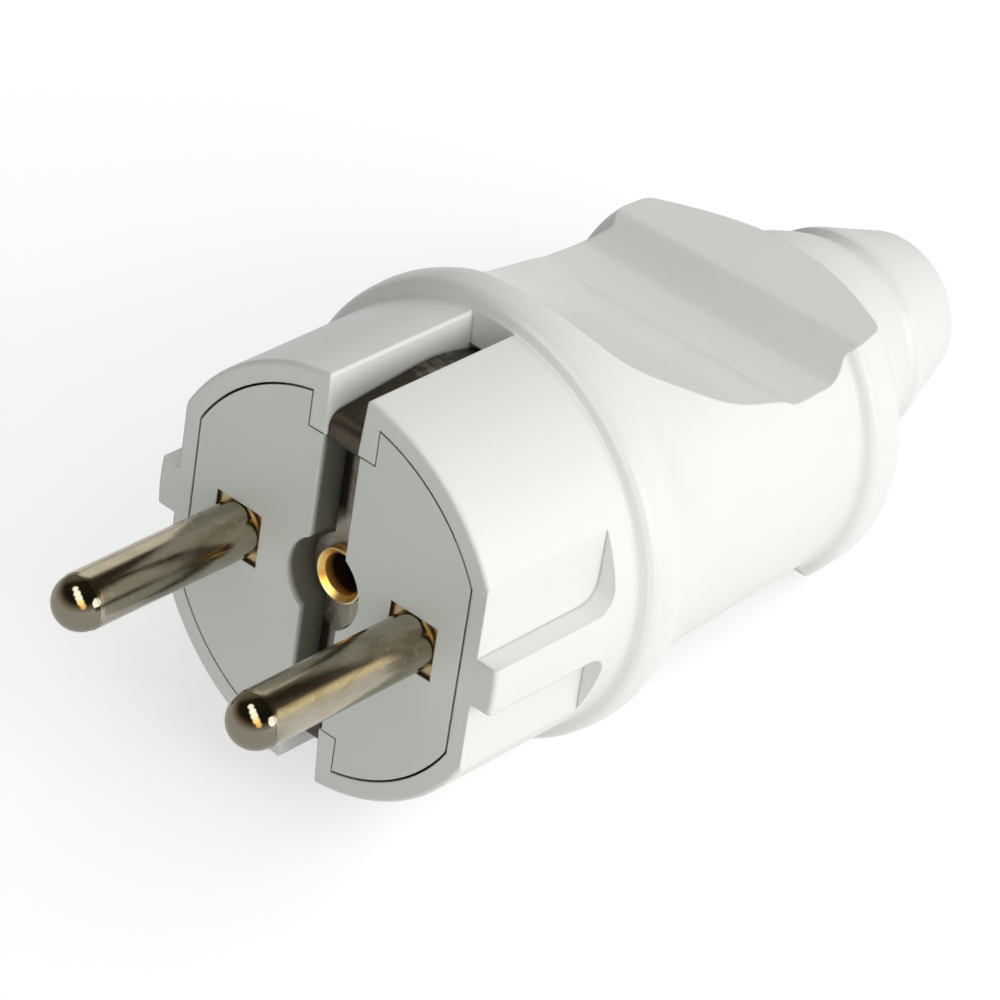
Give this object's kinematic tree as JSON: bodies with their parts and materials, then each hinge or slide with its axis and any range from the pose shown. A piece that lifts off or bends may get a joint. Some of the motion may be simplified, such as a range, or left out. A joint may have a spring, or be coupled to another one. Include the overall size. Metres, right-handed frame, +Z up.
{
  "type": "type f plug",
  "caption": "Straight earthed mains plug with round pins, side earth contacts, keyed face, flared finger flange, scooped grip and stepped cord nose.",
  "frame": {"origin": "middle of the footprint, on the floor that the plug rests on", "axes": "X along the line of the two pins, -Y the way the pins point, Z up; the plug is tilted about X as it rests on its flange and on the heel of its grip"},
  "size_m": [0.0396, 0.0912, 0.041],
  "materials": {
    "housing": "glossy moulded",
    "carrier": "satin moulded",
    "pins": "nickel plated, lightly scratched",
    "brass": "turned",
    "earth_strap": "nickel plated, dull",
    "screws": "zinc plated",
    "clamp": "moulded"
  },
  "bodies": {
    "root": {"housing": "housing", "contact_carrier": "carrier", "left_pin": "pins", "right_pin": "pins", "left_terminal": "brass", "right_terminal": "brass", "left_terminal_screw": "screws", "right_terminal_screw": "screws", "earth_contact": "earth_strap", "center_bushing": "brass", "assembly_screw": "screws", "earth_terminal": "brass", "earth_clamp_washer": "screws", "earth_terminal_screw": "screws", "cord_clamp_bar": "clamp", "left_clamp_screw": "screws", "right_clamp_screw": "screws"}
  },
  "joints": []
}
